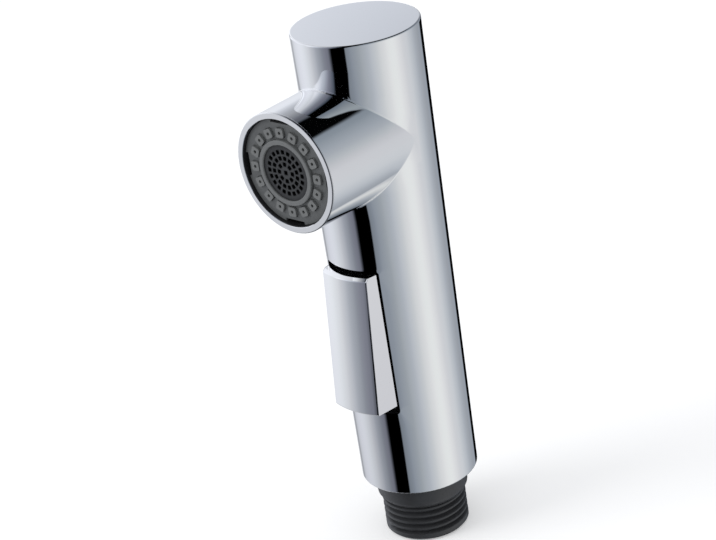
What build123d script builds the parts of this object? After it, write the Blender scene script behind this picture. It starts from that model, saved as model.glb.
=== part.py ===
from build123d import *
from math import radians, sqrt
import os

# Pull-out spray handset of a kitchen mixer tap. The origin is the centre of the hose joint's end face,
# +Z runs up the casing and the spray nozzle points towards -Y. All sizes are in millimetres.

# Hose joint: male G 1/2 thread, shown as its plain crest cylinder
thread_diameter = 20.955
thread_length = 9.5
thread_lead_in = 0.6
collar_diameter = 22.8
collar_height = 6.5
collar_bevel = 0.9
inlet_mouth_radius = 7.6
inlet_mouth_depth = 7.0
strainer_bore_radius = 7.3

# Casing
shell_length = 117.2
rim_radius = 14.49
top_radius = 15.29
shell_wall = 1.5
roof_thickness = 2.0
shell_edge_round = 0.45
nozzle_rise = 91.4
nozzle_reach = 29.3
nozzle_radius = 14.7
nozzle_flare = 0.35
nozzle_wall = 1.7
nozzle_edge_bevel = 0.25
nozzle_root_round = 0.5
window_rise = 22.55
window_height = 38.55
window_half_width = 8.13
window_corner = 1.0

# Lever paddle
paddle_upper_gap = 1.0
paddle_lower_gap = 2.35
paddle_upper_stand_out = 0.94
paddle_lower_stand_out = 3.95
paddle_face_half_width = 6.95
paddle_crown = 1.2
paddle_side_gap = 0.28
paddle_wall = 1.3
paddle_edge_round = 0.4
paddle_top_bevel = 0.7
pivot_below_paddle_top = 10.1
pin_radius = 1.0
pin_running_clearance = 0.05
pin_seat_clearance = 0.01
ear_thickness = 2.2
ear_radius = 2.1
rib_thickness = 2.5
rib_height = 5.0
press_arm = 19.0
lever_angle = 8.0

# Lever cradle
cradle_clearance = 0.18
cradle_end_clearance = 0.3
cradle_thickness = 1.4
cheek_margin = 0.55
cheek_gap = 0.2
cheek_thickness = 1.8
cheek_radius = 1.9
ear_back_gap = 0.3
peg_radius = 1.2
peg_length = 3.0
peg_inset = 2.3
peg_clearance = 0.05

# Core and its water ways
core_clearance = 0.25
core_headroom = 5.0
core_rib_half_width = 6.5
core_pocket_start = 0.5
core_floor = 17.0
core_nozzle_margin = 2.0
socket_clearance = 0.1
inlet_chamber_radius = 6.0
inlet_chamber_height = 6.0
inlet_riser_radius = 2.2
spray_riser_radius = 1.5
riser_gap = 0.1
stream_riser_radius = 1.7
water_wall = 0.7

# Hose joint inside the casing
connector_flange_height = 8.0
spigot_radius = 9.5
spigot_length = 9.0
spigot_end_gap = 1.0

# Seals
seal_section = 1.0
seal_clearance = 0.02
groove_play = 0.3

# Non-return valve and strainer
valve_bore_radius = 6.7
valve_flange_height = 1.5
valve_fit = 0.05
valve_wall = 1.55
valve_length = 20.0
valve_floor = 1.5
valve_orifice_radius = 3.8
valve_seal_section = 0.8
valve_seal_height = 9.5
poppet_radius = 4.4
poppet_head_height = 1.6
poppet_stem_radius = 1.2
poppet_guide_clearance = 0.05
poppet_lift = 2.0
poppet_stem_beyond_cage = 1.0
seat_gap = 0.05
cage_thickness = 1.6
cage_hole_radius = 1.1
cage_hole_count = 6
valve_spring_radius = 2.65
spring_wire = 0.45
spring_end_gap = 0.1
strainer_height = 2.0
strainer_rim = 0.95
strainer_sheet = 0.4

# Diverter
diverter_seat_y = 2.0
bush_radius = 4.35
bush_fit = 0.05
bush_length = 6.0
bush_guide_length = 1.8
port_radius = 2.6
stem_radius = 1.25
stem_clearance = 0.05
stem_seal_section = 1.0
stem_seal_groove = 1.2
bush_seal_section = 0.9
bush_groove_play = 0.15
divert_seal_radius = 3.6
divert_seal_thickness = 2.1
rear_seat_gap = 0.2
push_head_radius = 2.6
push_head_length = 0.8
push_head_dome = 0.7
push_head_stand_off = 3.6
head_clearance = 0.3
press_gap = 0.1
keeper_radius = 2.0
keeper_length = 0.6
tail_radius = 1.0
tail_length = 1.75
divert_spring_radius = 1.9
divert_spring_length = 5.85

# Spray insert, measured inwards from the nozzle's rim
insert_length = 21.3
insert_fit = 0.1
disc_recess = 1.0
disc_thickness = 2.7
notch_depth = 1.03
notch_half_width = 2.9
notch_count = 4
jet_count = 16
jet_edge_margin = 3.2
nub_size = 2.25
nub_corner = 0.5
nub_clearance = 0.12
nub_recess = 0.4
jet_hole_radius = 0.4
mat_thickness = 1.0
mat_edge_margin = 1.4
mat_lap = 0.7
chamber_lap = 0.6
ring_to_jets = 1.7
ring_recess = 0.1
ring_width = 1.2
ring_edge_round = 0.25
ring_fit = 0.05
grid_recess = 0.5
grid_thickness = 1.2
grid_hole = 1.0
grid_hole_corner = 0.3
grid_first_row = 2.05
grid_row_step = 1.515
grid_row_counts = (8, 15, 20)
cup_length = 13.6
cup_wall = 0.8
cup_floor = 1.2
cup_inlet_radius = 3.5
cup_step = 5.5
cup_step_width = 0.95
diffuser_thickness = 1.5
diffuser_hole_radius = 0.5
diffuser_hole_circle = 3.2
diffuser_hole_count = 12
spacer_wall = 0.6
screen_thickness = 0.35
screen_gap = 0.25
carrier_tube_wall = 1.0
carrier_wall_thickness = 1.6
carrier_hole_radius = 1.0
carrier_hole_count = 8
carrier_feed_height = 1.4
carrier_spigot_radius = 8.7
carrier_spigot_wall = 1.7
carrier_spigot_end = 2.2
stream_tube_radius = 5.5
stream_tube_wall = 1.7
stream_tube_end = 4.0
stream_passage_clearance = 0.1
cup_seal_section = 1.3
cup_fit = 0.05

# Heights and depths that follow from the sizes above
rim_height = thread_length + collar_height
shell_top = rim_height + shell_length
nozzle_height = rim_height + nozzle_rise
window_bottom = rim_height + window_rise
window_top = window_bottom + window_height
window_middle = (window_bottom + window_top) / 2
paddle_bottom = window_bottom + paddle_lower_gap
paddle_top = window_top - paddle_upper_gap
pivot_height = paddle_top - pivot_below_paddle_top
diverter_height = pivot_height - press_arm
plunger_travel = press_arm * radians(lever_angle)
bush_front_y = diverter_seat_y - bush_length
cradle_front_y = bush_front_y - cradle_thickness
cradle_half_width = window_half_width - cradle_clearance
cheek_outer = cradle_half_width - cheek_margin
cheek_inner = cheek_outer - cheek_thickness
ear_outer = cheek_inner - cheek_gap
ear_inner = ear_outer - ear_thickness
pivot_y = cradle_front_y - ear_radius - ear_back_gap
press_y = bush_front_y - push_head_stand_off - push_head_length - push_head_dome - press_gap
core_bottom = rim_height + connector_flange_height
core_top = shell_top - roof_thickness - core_headroom
socket_depth = spigot_length + spigot_end_gap
nozzle_root = nozzle_radius + nozzle_flare
nozzle_bore = nozzle_radius - nozzle_wall
core_nozzle_collar = nozzle_bore + core_nozzle_margin
core_face = nozzle_reach - insert_length
disc_radius = nozzle_bore - insert_fit
disc_front = nozzle_reach - disc_recess
disc_back = disc_front - disc_thickness
jet_circle = disc_radius - jet_edge_margin
ring_radius = jet_circle - ring_to_jets
grid_radius = ring_radius - ring_width - cup_fit
grid_back = nozzle_reach - grid_recess - grid_thickness
cup_back = grid_back - cup_length

# Planes of the nozzle and the diverter. Those for round outlines look out of the front. On those for turned
# profiles the first coordinate is the radius and the second runs along the axis.
nozzle_plane = Plane(origin=(0, 0, nozzle_height), x_dir=(1, 0, 0), z_dir=(0, -1, 0))
nozzle_profile = Plane(origin=(0, 0, nozzle_height), x_dir=(1, 0, 0), z_dir=(0, 0, -1))
nozzle_axis = Axis((0, 0, nozzle_height), (0, -1, 0))
diverter_plane = Plane(origin=(0, 0, diverter_height), x_dir=(1, 0, 0), z_dir=(0, -1, 0))
diverter_profile = Plane(origin=(0, 0, diverter_height), x_dir=(1, 0, 0), z_dir=(0, 0, 1))
diverter_axis = Axis((0, 0, diverter_height), (0, 1, 0))


def shell_radius(height):
    """Outer radius of the tapered casing at a height."""
    return rim_radius + (top_radius - rim_radius) * (height - rim_height) / shell_length


def paddle_face_y(height):
    """Depth of the paddle's front corners at a height: they lean out towards the lower end."""
    upper = shell_radius(paddle_top) + paddle_upper_stand_out
    lower = shell_radius(paddle_bottom) + paddle_lower_stand_out
    share = (height - paddle_bottom) / (paddle_top - paddle_bottom)
    return -(lower + (upper - lower) * share)


def paddle_section(height, root_y, inset=0, set_back=0):
    """Cross section of the paddle at a height, its walls drawn in or only its face set back."""
    face_width = paddle_face_half_width - inset
    root_width = window_half_width - paddle_side_gap - inset
    face_y = paddle_face_y(height) + inset + set_back
    with BuildSketch(Plane.XY.offset(height)) as section:
        with BuildLine():
            ThreePointArc((-face_width, face_y), (0, face_y - paddle_crown), (face_width, face_y))
            Line((face_width, face_y), (root_width, root_y))
            Line((root_width, root_y), (-root_width, root_y))
            Line((-root_width, root_y), (-face_width, face_y))
        make_face()
    return section.sketch


def tube(plane, outer, inner, length):
    """A plain round tube that stands on a plane."""
    with BuildPart() as made:
        with BuildSketch(plane):
            Circle(outer)
            Circle(inner, mode=Mode.SUBTRACT)
        extrude(amount=length)
    return made.part


def o_ring(plane, groove_floor, section):
    """A sealing ring that lies in a groove round a plane's own axis."""
    with BuildPart(plane) as made:
        Torus(groove_floor + section / 2, section / 2 - seal_clearance)
    return made.part


# The core slides in past the rim and fits the casing where that is narrowest
core_radius = min(rim_radius, shell_radius(core_top)) - shell_wall - core_clearance

# Housing shell: tapered casing with a flat closed top, the nozzle tube and the lever's window. The tube's
# back end is domed, so that it blends into the casing whichever of the two is the wider.
with BuildPart() as housing_shell:
    with BuildSketch(Plane.XZ):
        with BuildLine():
            Polyline(
                (0, rim_height),
                (rim_radius, rim_height),
                (top_radius, shell_top),
                (0, shell_top),
                close=True,
            )
        make_face()
    revolve(axis=Axis.Z)
    fillet(housing_shell.edges().filter_by(GeomType.CIRCLE), shell_edge_round)
    with BuildSketch(nozzle_profile):
        with BuildLine():
            CenterArc((0, 0), nozzle_root, -90, 90)
            Line((nozzle_root, 0), (nozzle_radius, nozzle_reach))
            Line((nozzle_radius, nozzle_reach), (0, nozzle_reach))
            Line((0, nozzle_reach), (0, -nozzle_root))
        make_face()
    revolve(axis=nozzle_axis)
    fillet(housing_shell.edges(Select.NEW), nozzle_root_round)
    with BuildSketch(Plane.XZ):
        with BuildLine():
            Polyline(
                (0, rim_height),
                (rim_radius - shell_wall, rim_height),
                (top_radius - shell_wall, shell_top - roof_thickness),
                (0, shell_top - roof_thickness),
                close=True,
            )
        make_face()
    revolve(axis=Axis.Z, mode=Mode.SUBTRACT)
    with BuildSketch(nozzle_plane):
        Circle(nozzle_bore)
    extrude(amount=nozzle_reach, mode=Mode.SUBTRACT)
    nozzle_rim = housing_shell.faces().sort_by(Axis.Y)[0]
    chamfer(nozzle_rim.edges(), nozzle_edge_bevel)
    with BuildSketch(Plane.XZ.offset(rim_radius / 2)):
        with Locations((0, window_middle)):
            RectangleRounded(2 * window_half_width, window_height, window_corner)
    extrude(amount=rim_radius, mode=Mode.SUBTRACT)

# Lever paddle: crowned and leaning face with a bevelled upper end, hollow behind, with two ears and the rib
# that presses the plunger
window_wall_y = -sqrt((shell_radius(pivot_height) - shell_wall) ** 2 - window_half_width**2)
skirt_y = min(window_wall_y, pivot_y - cheek_radius - cheek_gap)
with BuildPart() as lever_paddle:
    loft(
        sections=[
            paddle_section(paddle_bottom, skirt_y),
            paddle_section(paddle_top - paddle_top_bevel, skirt_y),
            paddle_section(paddle_top, skirt_y, set_back=paddle_top_bevel),
        ],
        ruled=True,
    )
    paddle_front = lever_paddle.faces().sort_by(Axis.Y)[0]
    fillet(paddle_front.edges(), paddle_edge_round)
    loft(
        sections=[
            paddle_section(paddle_bottom + paddle_wall, skirt_y, inset=paddle_wall),
            paddle_section(paddle_top - paddle_wall, skirt_y, inset=paddle_wall),
        ],
        ruled=True,
        mode=Mode.SUBTRACT,
    )
    ear_root_y = paddle_face_y(pivot_height)
    for side in (-1, 1):
        with BuildSketch(Plane.YZ.offset(side * ear_inner)):
            with Locations((pivot_y, pivot_height)):
                Circle(ear_radius)
            with Locations(((pivot_y + ear_root_y) / 2, pivot_height)):
                Rectangle(pivot_y - ear_root_y, 2 * ear_radius)
        extrude(amount=side * ear_thickness)
    rib_root_y = paddle_face_y(diverter_height) - paddle_crown / 2
    with BuildSketch(Plane.YZ):
        with Locations(((press_y + rib_root_y) / 2, diverter_height)):
            Rectangle(press_y - rib_root_y, rib_height)
    extrude(amount=rib_thickness / 2, both=True)
    with BuildSketch(Plane.YZ):
        with Locations((pivot_y, pivot_height)):
            Circle(pin_radius + pin_running_clearance)
    extrude(amount=ear_outer, both=True, mode=Mode.SUBTRACT)

# Lever cradle: tray behind the paddle with two cheeks for the pin and four pegs at its back
cradle_height = window_height - 2 * cradle_end_clearance
peg_spots = [
    (x * (cradle_half_width - peg_inset), window_middle + z * (cradle_height / 2 - peg_inset))
    for x in (-1, 1)
    for z in (-1, 1)
]
with BuildPart() as lever_cradle:
    with BuildSketch(Plane.XZ.offset(-bush_front_y)):
        with Locations((0, window_middle)):
            RectangleRounded(2 * cradle_half_width, cradle_height, window_corner)
        with Locations((0, diverter_height)):
            Circle(push_head_radius + head_clearance, mode=Mode.SUBTRACT)
    extrude(amount=cradle_thickness)
    for side in (-1, 1):
        with BuildSketch(Plane.YZ.offset(side * cheek_inner)):
            with Locations((pivot_y, pivot_height)):
                Circle(cheek_radius)
            with Locations(((pivot_y + cradle_front_y) / 2, pivot_height)):
                Rectangle(cradle_front_y - pivot_y, 2 * cheek_radius)
        extrude(amount=side * cheek_thickness)
    with BuildSketch(Plane.YZ):
        with Locations((pivot_y, pivot_height)):
            Circle(pin_radius + pin_seat_clearance)
    extrude(amount=cheek_outer, both=True, mode=Mode.SUBTRACT)
    with BuildSketch(Plane.XZ.offset(-bush_front_y)):
        with Locations(*peg_spots):
            Circle(peg_radius)
    extrude(amount=-peg_length)

# Lever pin, held in the cradle's cheeks
with BuildPart() as lever_pin:
    with BuildSketch(Plane.YZ):
        with Locations((pivot_y, pivot_height)):
            Circle(pin_radius)
    extrude(amount=cheek_outer, both=True)

# Waterway core: moulded drum with the lever's pocket, the inlet socket, the diverter bore and the risers
bush_bore = bush_radius + bush_fit
seal_start_y = diverter_seat_y + seat_gap
rear_seat_y = seal_start_y + divert_seal_thickness + plunger_travel + rear_seat_gap
keeper_end_y = seal_start_y + divert_seal_thickness + keeper_length
rear_bore_end = keeper_end_y + divert_spring_length
stream_riser_y = rear_seat_y + water_wall + stream_riser_radius
inlet_riser_y = (diverter_seat_y + rear_seat_y) / 2
spray_riser_y = bush_front_y + bush_guide_length + spray_riser_radius + riser_gap
socket_radius = carrier_spigot_radius + socket_clearance
chamber_top = core_bottom + socket_depth + inlet_chamber_height
with BuildPart() as waterway_core:
    with BuildSketch(Plane.XY.offset(core_bottom)):
        Circle(core_radius)
    extrude(amount=core_top - core_bottom)
    with BuildSketch(Plane.XY.offset(core_bottom + core_floor)):
        for side in (-1, 1):
            with Locations((side * core_rib_half_width, -core_pocket_start)):
                Rectangle(
                    core_radius,
                    2 * core_radius,
                    align=(Align.MIN if side > 0 else Align.MAX, Align.MIN),
                )
    extrude(amount=nozzle_height - core_nozzle_collar - core_bottom - core_floor, mode=Mode.SUBTRACT)
    with BuildSketch(nozzle_plane.offset(core_face)):
        Rectangle(2 * core_radius, 2 * core_nozzle_collar)
    extrude(amount=core_radius, mode=Mode.SUBTRACT)
    with BuildSketch(Plane.XZ.offset(-bush_front_y)):
        with Locations((0, window_middle)):
            RectangleRounded(2 * window_half_width, window_height, window_corner)
    extrude(amount=core_radius, mode=Mode.SUBTRACT)
    with BuildSketch(Plane.XY.offset(core_bottom)):
        Circle(spigot_radius + socket_clearance)
    extrude(amount=socket_depth, mode=Mode.SUBTRACT)
    with BuildSketch(Plane.XY.offset(core_bottom)):
        Circle(inlet_chamber_radius)
    extrude(amount=chamber_top - core_bottom, mode=Mode.SUBTRACT)
    with BuildSketch(Plane.XY.offset(core_bottom + socket_depth)):
        with Locations((0, inlet_riser_y)):
            Circle(inlet_riser_radius)
    extrude(amount=diverter_height - core_bottom - socket_depth, mode=Mode.SUBTRACT)
    with BuildSketch(diverter_plane.offset(-bush_front_y)):
        Circle(bush_bore)
    extrude(amount=-(rear_seat_y - bush_front_y), mode=Mode.SUBTRACT)
    with BuildSketch(diverter_plane.offset(-rear_seat_y)):
        Circle(port_radius)
    extrude(amount=-(rear_bore_end - rear_seat_y), mode=Mode.SUBTRACT)
    with BuildSketch(Plane.XY.offset(diverter_height)):
        with Locations((0, spray_riser_y)):
            Circle(spray_riser_radius)
    extrude(amount=nozzle_height - stream_tube_radius - diverter_height - water_wall, mode=Mode.SUBTRACT)
    with BuildSketch(Plane.XY.offset(diverter_height)):
        with Locations((0, stream_riser_y)):
            Circle(stream_riser_radius)
    extrude(amount=nozzle_height - diverter_height, mode=Mode.SUBTRACT)
    with BuildSketch(nozzle_plane):
        Circle(socket_radius)
    extrude(amount=core_face, mode=Mode.SUBTRACT)
    with BuildSketch(nozzle_plane):
        Circle(stream_tube_radius + stream_passage_clearance)
    extrude(amount=-stream_riser_y, mode=Mode.SUBTRACT)
    with BuildSketch(Plane.XZ.offset(-bush_front_y)):
        with Locations(*peg_spots):
            Circle(peg_radius + peg_clearance)
    extrude(amount=-(peg_length + peg_clearance), mode=Mode.SUBTRACT)

# Inlet connector: thread, collar, flange under the core and spigot in its socket, bored for the valve
thread_radius = thread_diameter / 2
valve_seat_height = inlet_mouth_depth + strainer_height + valve_flange_height
spigot_top = core_bottom + spigot_length
spigot_groove = core_bottom + spigot_length / 2
spigot_seal_width = seal_section + groove_play
with BuildPart() as inlet_connector:
    with BuildSketch(Plane.XZ):
        with BuildLine():
            Polyline(
                (inlet_mouth_radius, 0),
                (thread_radius - thread_lead_in, 0),
                (thread_radius, thread_lead_in),
                (thread_radius, thread_length),
                (collar_diameter / 2 - collar_bevel, thread_length),
                (collar_diameter / 2, thread_length + collar_bevel),
                (collar_diameter / 2, rim_height),
                (core_radius, rim_height),
                (core_radius, core_bottom),
                (spigot_radius, core_bottom),
                (spigot_radius, spigot_groove - spigot_seal_width / 2),
                (spigot_radius + socket_clearance - seal_section, spigot_groove - spigot_seal_width / 2),
                (spigot_radius + socket_clearance - seal_section, spigot_groove + spigot_seal_width / 2),
                (spigot_radius, spigot_groove + spigot_seal_width / 2),
                (spigot_radius, spigot_top),
                (valve_bore_radius, spigot_top),
                (valve_bore_radius, valve_seat_height),
                (strainer_bore_radius, valve_seat_height),
                (strainer_bore_radius, inlet_mouth_depth),
                (inlet_mouth_radius, inlet_mouth_depth),
                close=True,
            )
        make_face()
    revolve(axis=Axis.Z)

connector_o_ring = o_ring(
    Plane.XY.offset(spigot_groove), spigot_radius + socket_clearance - seal_section, seal_section
)

# Inlet strainer: a rimmed sieve just behind the hose's washer
strainer_radius = strainer_bore_radius - valve_fit
with BuildPart() as inlet_strainer:
    with BuildSketch(Plane.XY.offset(inlet_mouth_depth)):
        Circle(strainer_radius)
        Circle(strainer_radius - strainer_rim, mode=Mode.SUBTRACT)
    extrude(amount=strainer_height)
    with BuildSketch(Plane.XY.offset(inlet_mouth_depth + (strainer_height - strainer_sheet) / 2)):
        Circle(strainer_radius - strainer_rim)
    extrude(amount=strainer_sheet)

# Non-return valve housing: a cartridge that stands on the connector's step
valve_bottom = valve_seat_height - valve_flange_height
valve_radius = valve_bore_radius - valve_fit
valve_inner = valve_radius - valve_wall
valve_top = valve_seat_height + valve_length
valve_seat = valve_seat_height + valve_floor
valve_groove = valve_seat_height + valve_seal_height
valve_groove_width = valve_seal_section + groove_play
cage_bottom = valve_top - poppet_lift - poppet_stem_beyond_cage - cage_thickness
with BuildPart() as check_valve_housing:
    with BuildSketch(Plane.XZ):
        with BuildLine():
            Polyline(
                (valve_orifice_radius, valve_bottom),
                (strainer_radius, valve_bottom),
                (strainer_radius, valve_seat_height),
                (valve_radius, valve_seat_height),
                (valve_radius, valve_groove - valve_groove_width / 2),
                (valve_bore_radius - valve_seal_section, valve_groove - valve_groove_width / 2),
                (valve_bore_radius - valve_seal_section, valve_groove + valve_groove_width / 2),
                (valve_radius, valve_groove + valve_groove_width / 2),
                (valve_radius, valve_top),
                (valve_inner, valve_top),
                (valve_inner, valve_seat),
                (valve_orifice_radius, valve_seat),
                close=True,
            )
        make_face()
    revolve(axis=Axis.Z)

check_valve_o_ring = o_ring(
    Plane.XY.offset(valve_groove), valve_bore_radius - valve_seal_section, valve_seal_section
)

# Cage: a drilled disc snapped into the housing's top, which guides the poppet's stem
cage_hole_circle = (poppet_stem_radius + valve_inner) / 2
with BuildPart() as check_valve_cage:
    with BuildSketch(Plane.XY.offset(cage_bottom)):
        Circle(valve_inner - valve_fit)
        Circle(poppet_stem_radius + poppet_guide_clearance, mode=Mode.SUBTRACT)
        with PolarLocations(cage_hole_circle, cage_hole_count):
            Circle(cage_hole_radius, mode=Mode.SUBTRACT)
    extrude(amount=cage_thickness)

# Poppet: disc with a bevelled underside and a stem that runs in the cage
poppet_bottom = valve_seat + seat_gap
poppet_shoulder = poppet_bottom + poppet_head_height
with BuildPart() as check_valve_poppet:
    with BuildSketch(Plane.XZ):
        with BuildLine():
            Polyline(
                (0, poppet_bottom),
                (poppet_radius, poppet_bottom),
                (poppet_radius, poppet_shoulder),
                (poppet_stem_radius, poppet_shoulder),
                (poppet_stem_radius, cage_bottom + cage_thickness + poppet_stem_beyond_cage),
                (0, cage_bottom + cage_thickness + poppet_stem_beyond_cage),
                close=True,
            )
        make_face()
    revolve(axis=Axis.Z)

# Closing spring, shown as the sleeve that its coils fill
check_valve_spring = tube(
    Plane.XY.offset(poppet_shoulder + spring_end_gap),
    valve_spring_radius,
    valve_spring_radius - spring_wire,
    cage_bottom - poppet_shoulder - 2 * spring_end_gap,
)

# Diverter bush: front seat and stem guide in one, with a port up to the spray riser
guide_end = bush_front_y + bush_guide_length
bush_groove_y = bush_front_y + bush_guide_length / 2
bush_groove_width = bush_seal_section + bush_groove_play
with BuildPart() as diverter_bush:
    with BuildSketch(diverter_plane.offset(-bush_front_y)):
        Circle(bush_radius)
        Circle(stem_radius + stem_clearance, mode=Mode.SUBTRACT)
    extrude(amount=-bush_length)
    with BuildSketch(diverter_plane.offset(-guide_end)):
        Circle(port_radius)
    extrude(amount=-(diverter_seat_y - guide_end), mode=Mode.SUBTRACT)
    with BuildSketch(diverter_plane.offset(-(bush_groove_y - bush_groove_width / 2))):
        Circle(bush_radius)
        Circle(bush_bore - bush_seal_section, mode=Mode.SUBTRACT)
    extrude(amount=-bush_groove_width, mode=Mode.SUBTRACT)
    with BuildSketch(diverter_plane.offset(-(bush_groove_y - stem_seal_groove / 2))):
        Circle(stem_radius + stem_seal_section)
    extrude(amount=-stem_seal_groove, mode=Mode.SUBTRACT)
    with BuildSketch(Plane.XY.offset(diverter_height)):
        with Locations((0, spray_riser_y)):
            Circle(spray_riser_radius)
    extrude(amount=bush_radius, mode=Mode.SUBTRACT)

bush_o_ring = o_ring(
    diverter_plane.offset(-bush_groove_y), bush_bore - bush_seal_section, bush_seal_section
)
stem_o_ring = o_ring(diverter_plane.offset(-bush_groove_y), stem_radius, stem_seal_section)

# Diverter plunger: domed push head, stem, keeper behind the seal and a tail inside the spring
head_back_y = bush_front_y - push_head_stand_off
head_front_y = head_back_y - push_head_length
keeper_start_y = seal_start_y + divert_seal_thickness
with BuildPart() as diverter_plunger:
    with BuildSketch(diverter_profile):
        with BuildLine():
            dome = RadiusArc(
                (0, head_front_y - push_head_dome),
                (push_head_radius, head_front_y),
                -(push_head_radius**2 + push_head_dome**2) / (2 * push_head_dome),
            )
            Polyline(
                dome @ 1,
                (push_head_radius, head_back_y),
                (stem_radius, head_back_y),
                (stem_radius, keeper_start_y),
                (keeper_radius, keeper_start_y),
                (keeper_radius, keeper_end_y),
                (tail_radius, keeper_end_y),
                (tail_radius, keeper_end_y + tail_length),
                (0, keeper_end_y + tail_length),
                dome @ 0,
            )
        make_face()
    revolve(axis=diverter_axis)

# Diverter seal: rubber disc on the stem that closes one seat or the other
diverter_seal = tube(
    diverter_plane.offset(-seal_start_y), divert_seal_radius, stem_radius, -divert_seal_thickness
)

# Return spring behind the keeper, shown as the sleeve that its coils fill
diverter_spring = tube(
    diverter_plane.offset(-(keeper_end_y + spring_end_gap)),
    divert_spring_radius,
    divert_spring_radius - spring_wire,
    -(divert_spring_length - 2 * spring_end_gap),
)

# Spray carrier: ring chamber behind the jets round the stream tube, screwed into the core's socket
mat_back = disc_back - mat_thickness
mat_radius = disc_radius - mat_edge_margin
mat_seat_radius = mat_radius + insert_fit
chamber_radius = mat_radius - chamber_lap
carrier_radius = disc_radius - insert_fit
cup_bore = grid_radius + insert_fit
cup_seat = cup_back - cup_seal_section
inner_tube_radius = cup_bore + carrier_tube_wall
stream_bore = stream_tube_radius - stream_tube_wall
feed_start = core_face + carrier_wall_thickness
feed_end = feed_start + carrier_feed_height
chamber_start = feed_end + carrier_wall_thickness
feed_inner_radius = carrier_spigot_radius - carrier_spigot_wall
tube_groove = -stream_tube_end / 2
tube_groove_floor = stream_tube_radius + stream_passage_clearance - seal_section
spigot_end_groove = (carrier_spigot_end + core_face) / 2
spigot_groove_floor = socket_radius - seal_section
half_groove = (seal_section + groove_play) / 2
with BuildPart() as spray_carrier:
    with BuildSketch(nozzle_profile):
        with BuildLine():
            Polyline(
                (stream_bore, -stream_tube_end),
                (stream_tube_radius, -stream_tube_end),
                (stream_tube_radius, tube_groove - half_groove),
                (tube_groove_floor, tube_groove - half_groove),
                (tube_groove_floor, tube_groove + half_groove),
                (stream_tube_radius, tube_groove + half_groove),
                (stream_tube_radius, feed_end),
                (chamber_radius, feed_end),
                (chamber_radius, feed_start),
                (feed_inner_radius, feed_start),
                (feed_inner_radius, carrier_spigot_end),
                (carrier_spigot_radius, carrier_spigot_end),
                (carrier_spigot_radius, spigot_end_groove - half_groove),
                (spigot_groove_floor, spigot_end_groove - half_groove),
                (spigot_groove_floor, spigot_end_groove + half_groove),
                (carrier_spigot_radius, spigot_end_groove + half_groove),
                (carrier_spigot_radius, core_face),
                (carrier_radius, core_face),
                (carrier_radius, disc_back),
                (mat_seat_radius, disc_back),
                (mat_seat_radius, mat_back),
                (chamber_radius, mat_back),
                (chamber_radius, chamber_start),
                (inner_tube_radius, chamber_start),
                (inner_tube_radius, mat_back),
                (cup_bore, mat_back),
                (cup_bore, cup_seat),
                (stream_bore, cup_seat),
                close=True,
            )
        make_face()
    revolve(axis=nozzle_axis)
    with BuildSketch(nozzle_plane.offset(feed_end)):
        with PolarLocations((inner_tube_radius + chamber_radius) / 2, carrier_hole_count):
            Circle(carrier_hole_radius)
    extrude(amount=carrier_wall_thickness, mode=Mode.SUBTRACT)

stream_tube_o_ring = o_ring(nozzle_plane.offset(tube_groove), tube_groove_floor, seal_section)
carrier_o_ring = o_ring(nozzle_plane.offset(spigot_end_groove), spigot_groove_floor, seal_section)

# Jet mat: soft ring with sixteen square nubs, each drilled through for its jet
mat_inner_radius = inner_tube_radius - mat_lap
nub_length = nozzle_reach - nub_recess - disc_back
with BuildPart() as jet_mat:
    with BuildSketch(nozzle_plane.offset(mat_back)):
        Circle(mat_radius)
        Circle(mat_inner_radius, mode=Mode.SUBTRACT)
    extrude(amount=mat_thickness)
    with BuildSketch(nozzle_plane.offset(disc_back)):
        with PolarLocations(jet_circle, jet_count):
            RectangleRounded(nub_size, nub_size, nub_corner)
    extrude(amount=nub_length)
    with BuildSketch(nozzle_plane.offset(mat_back)):
        with PolarLocations(jet_circle, jet_count):
            Circle(jet_hole_radius)
    extrude(amount=mat_thickness + nub_length, mode=Mode.SUBTRACT)

# Spray disc: the grey face plate, with a window round each nub and the key notches in its edge
window_size = nub_size + 2 * nub_clearance
with BuildPart() as spray_disc:
    with BuildSketch(nozzle_plane.offset(disc_back)):
        Circle(disc_radius)
        Circle(ring_radius + ring_fit, mode=Mode.SUBTRACT)
        with PolarLocations(jet_circle, jet_count):
            RectangleRounded(window_size, window_size, nub_corner + nub_clearance, mode=Mode.SUBTRACT)
        with PolarLocations(disc_radius, notch_count):
            Rectangle(2 * notch_depth, 2 * notch_half_width, mode=Mode.SUBTRACT)
    extrude(amount=disc_thickness)

# Aerator ring: the lighter raised ring round the middle stream outlet
with BuildPart() as aerator_ring:
    with BuildSketch(nozzle_plane.offset(disc_back)):
        Circle(ring_radius)
        Circle(ring_radius - ring_width, mode=Mode.SUBTRACT)
    extrude(amount=nozzle_reach - ring_recess - disc_back)
    fillet(aerator_ring.faces().sort_by(Axis.Y)[0].edges(), ring_edge_round)

# Aerator grid: rounded square holes, one in the middle and the rest in rings. Every second ring is turned
# by half a step.
with BuildPart() as aerator_grid:
    with BuildSketch(nozzle_plane.offset(grid_back)):
        Circle(grid_radius)
        RectangleRounded(grid_hole, grid_hole, grid_hole_corner, mode=Mode.SUBTRACT)
        for row, count in enumerate(grid_row_counts):
            half_step = (row % 2) * 180 / count
            with PolarLocations(grid_first_row + row * grid_row_step, count, start_angle=half_step):
                RectangleRounded(grid_hole, grid_hole, grid_hole_corner, mode=Mode.SUBTRACT)
    extrude(amount=grid_thickness)

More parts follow.
